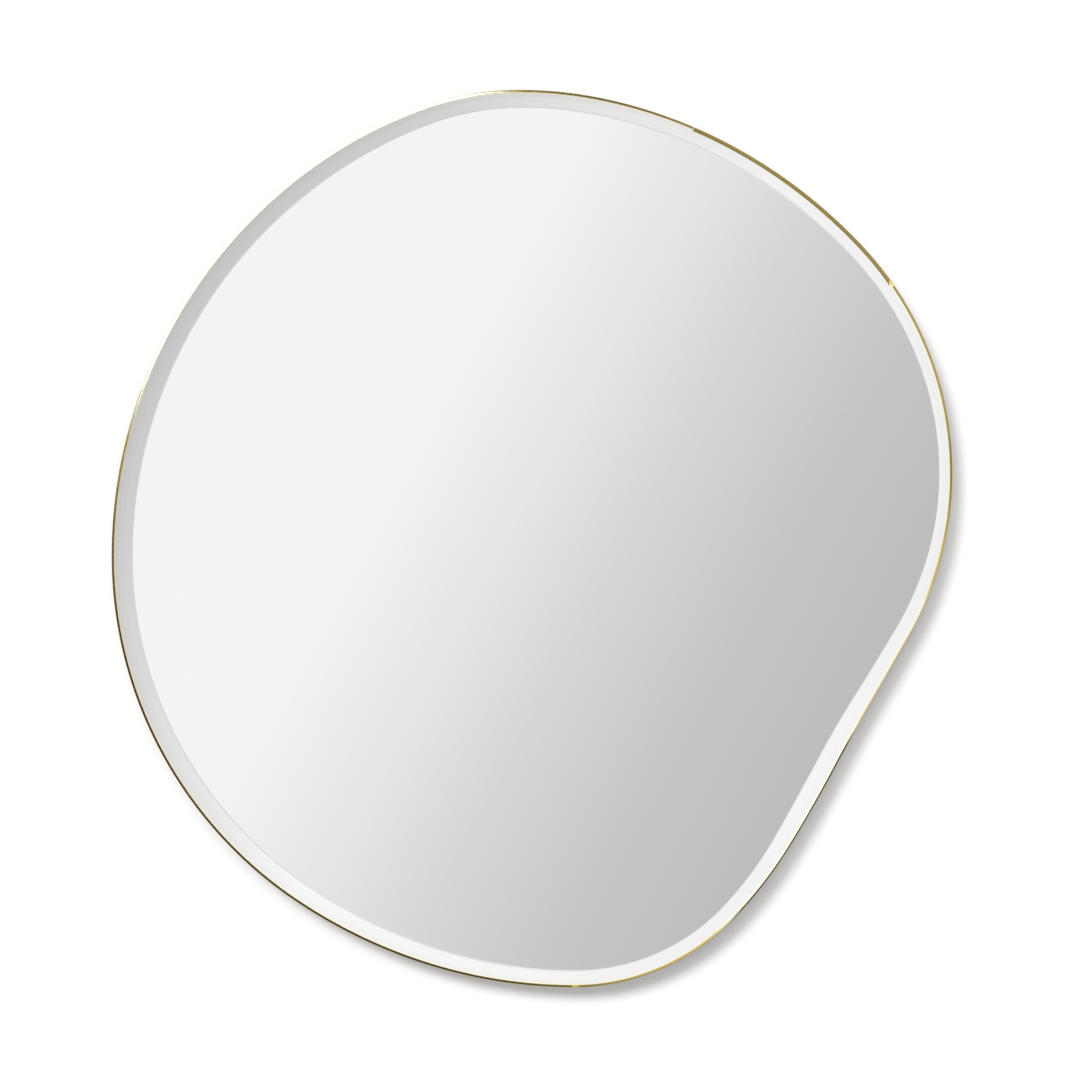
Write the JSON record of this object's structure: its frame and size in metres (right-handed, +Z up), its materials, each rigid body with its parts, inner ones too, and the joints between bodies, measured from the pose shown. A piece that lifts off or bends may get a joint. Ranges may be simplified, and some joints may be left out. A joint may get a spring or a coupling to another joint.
{
  "type": "irregular shaped mirror",
  "caption": "Wall mirror with an irregular pebble outline, bevelled glass, a thin brass bar frame and a black backing board with keyhole hangers.",
  "frame": {"origin": "middle of the width and height, on the rear face of the backing board", "axes": "+Z up as it hangs, +Y out of its rear face towards the wall, so the glass looks towards -Y, +X to the right seen from the front"},
  "size_m": [0.55, 0.02, 0.587],
  "materials": {
    "glass": "clear float glass, polished bevel",
    "silver": "silvered, painted on its back",
    "brass": "polished",
    "board": "fibreboard, painted matt black",
    "tape": "foam tape",
    "adhesive": "cured mirror adhesive",
    "zinc_steel": "zinc plated",
    "screw_steel": "zinc plated"
  },
  "bodies": {
    "root": {"mirror_glass": "glass", "silver_coating": "silver", "frame_bar_left": "brass", "frame_bar_shoulder": "brass", "frame_bar_right": "brass", "backing_board": "board", "mirror_tape_1": "tape", "mirror_tape_2": "tape", "mirror_tape_3": "tape", "mirror_tape_4": "tape", "adhesive_bead_1": "adhesive", "adhesive_bead_2": "adhesive", "adhesive_bead_3": "adhesive", "left_tab_1": "zinc_steel", "left_tab_2": "zinc_steel", "left_tab_3": "zinc_steel", "left_tab_4": "zinc_steel", "left_tab_5": "zinc_steel", "shoulder_tab_1": "zinc_steel", "shoulder_tab_2": "zinc_steel", "right_tab_1": "zinc_steel", "right_tab_2": "zinc_steel", "right_tab_3": "zinc_steel", "right_tab_4": "zinc_steel", "hanger_left": "zinc_steel", "hanger_right": "zinc_steel", "tab_screws": "screw_steel", "hanger_screws": "screw_steel"}
  },
  "joints": []
}
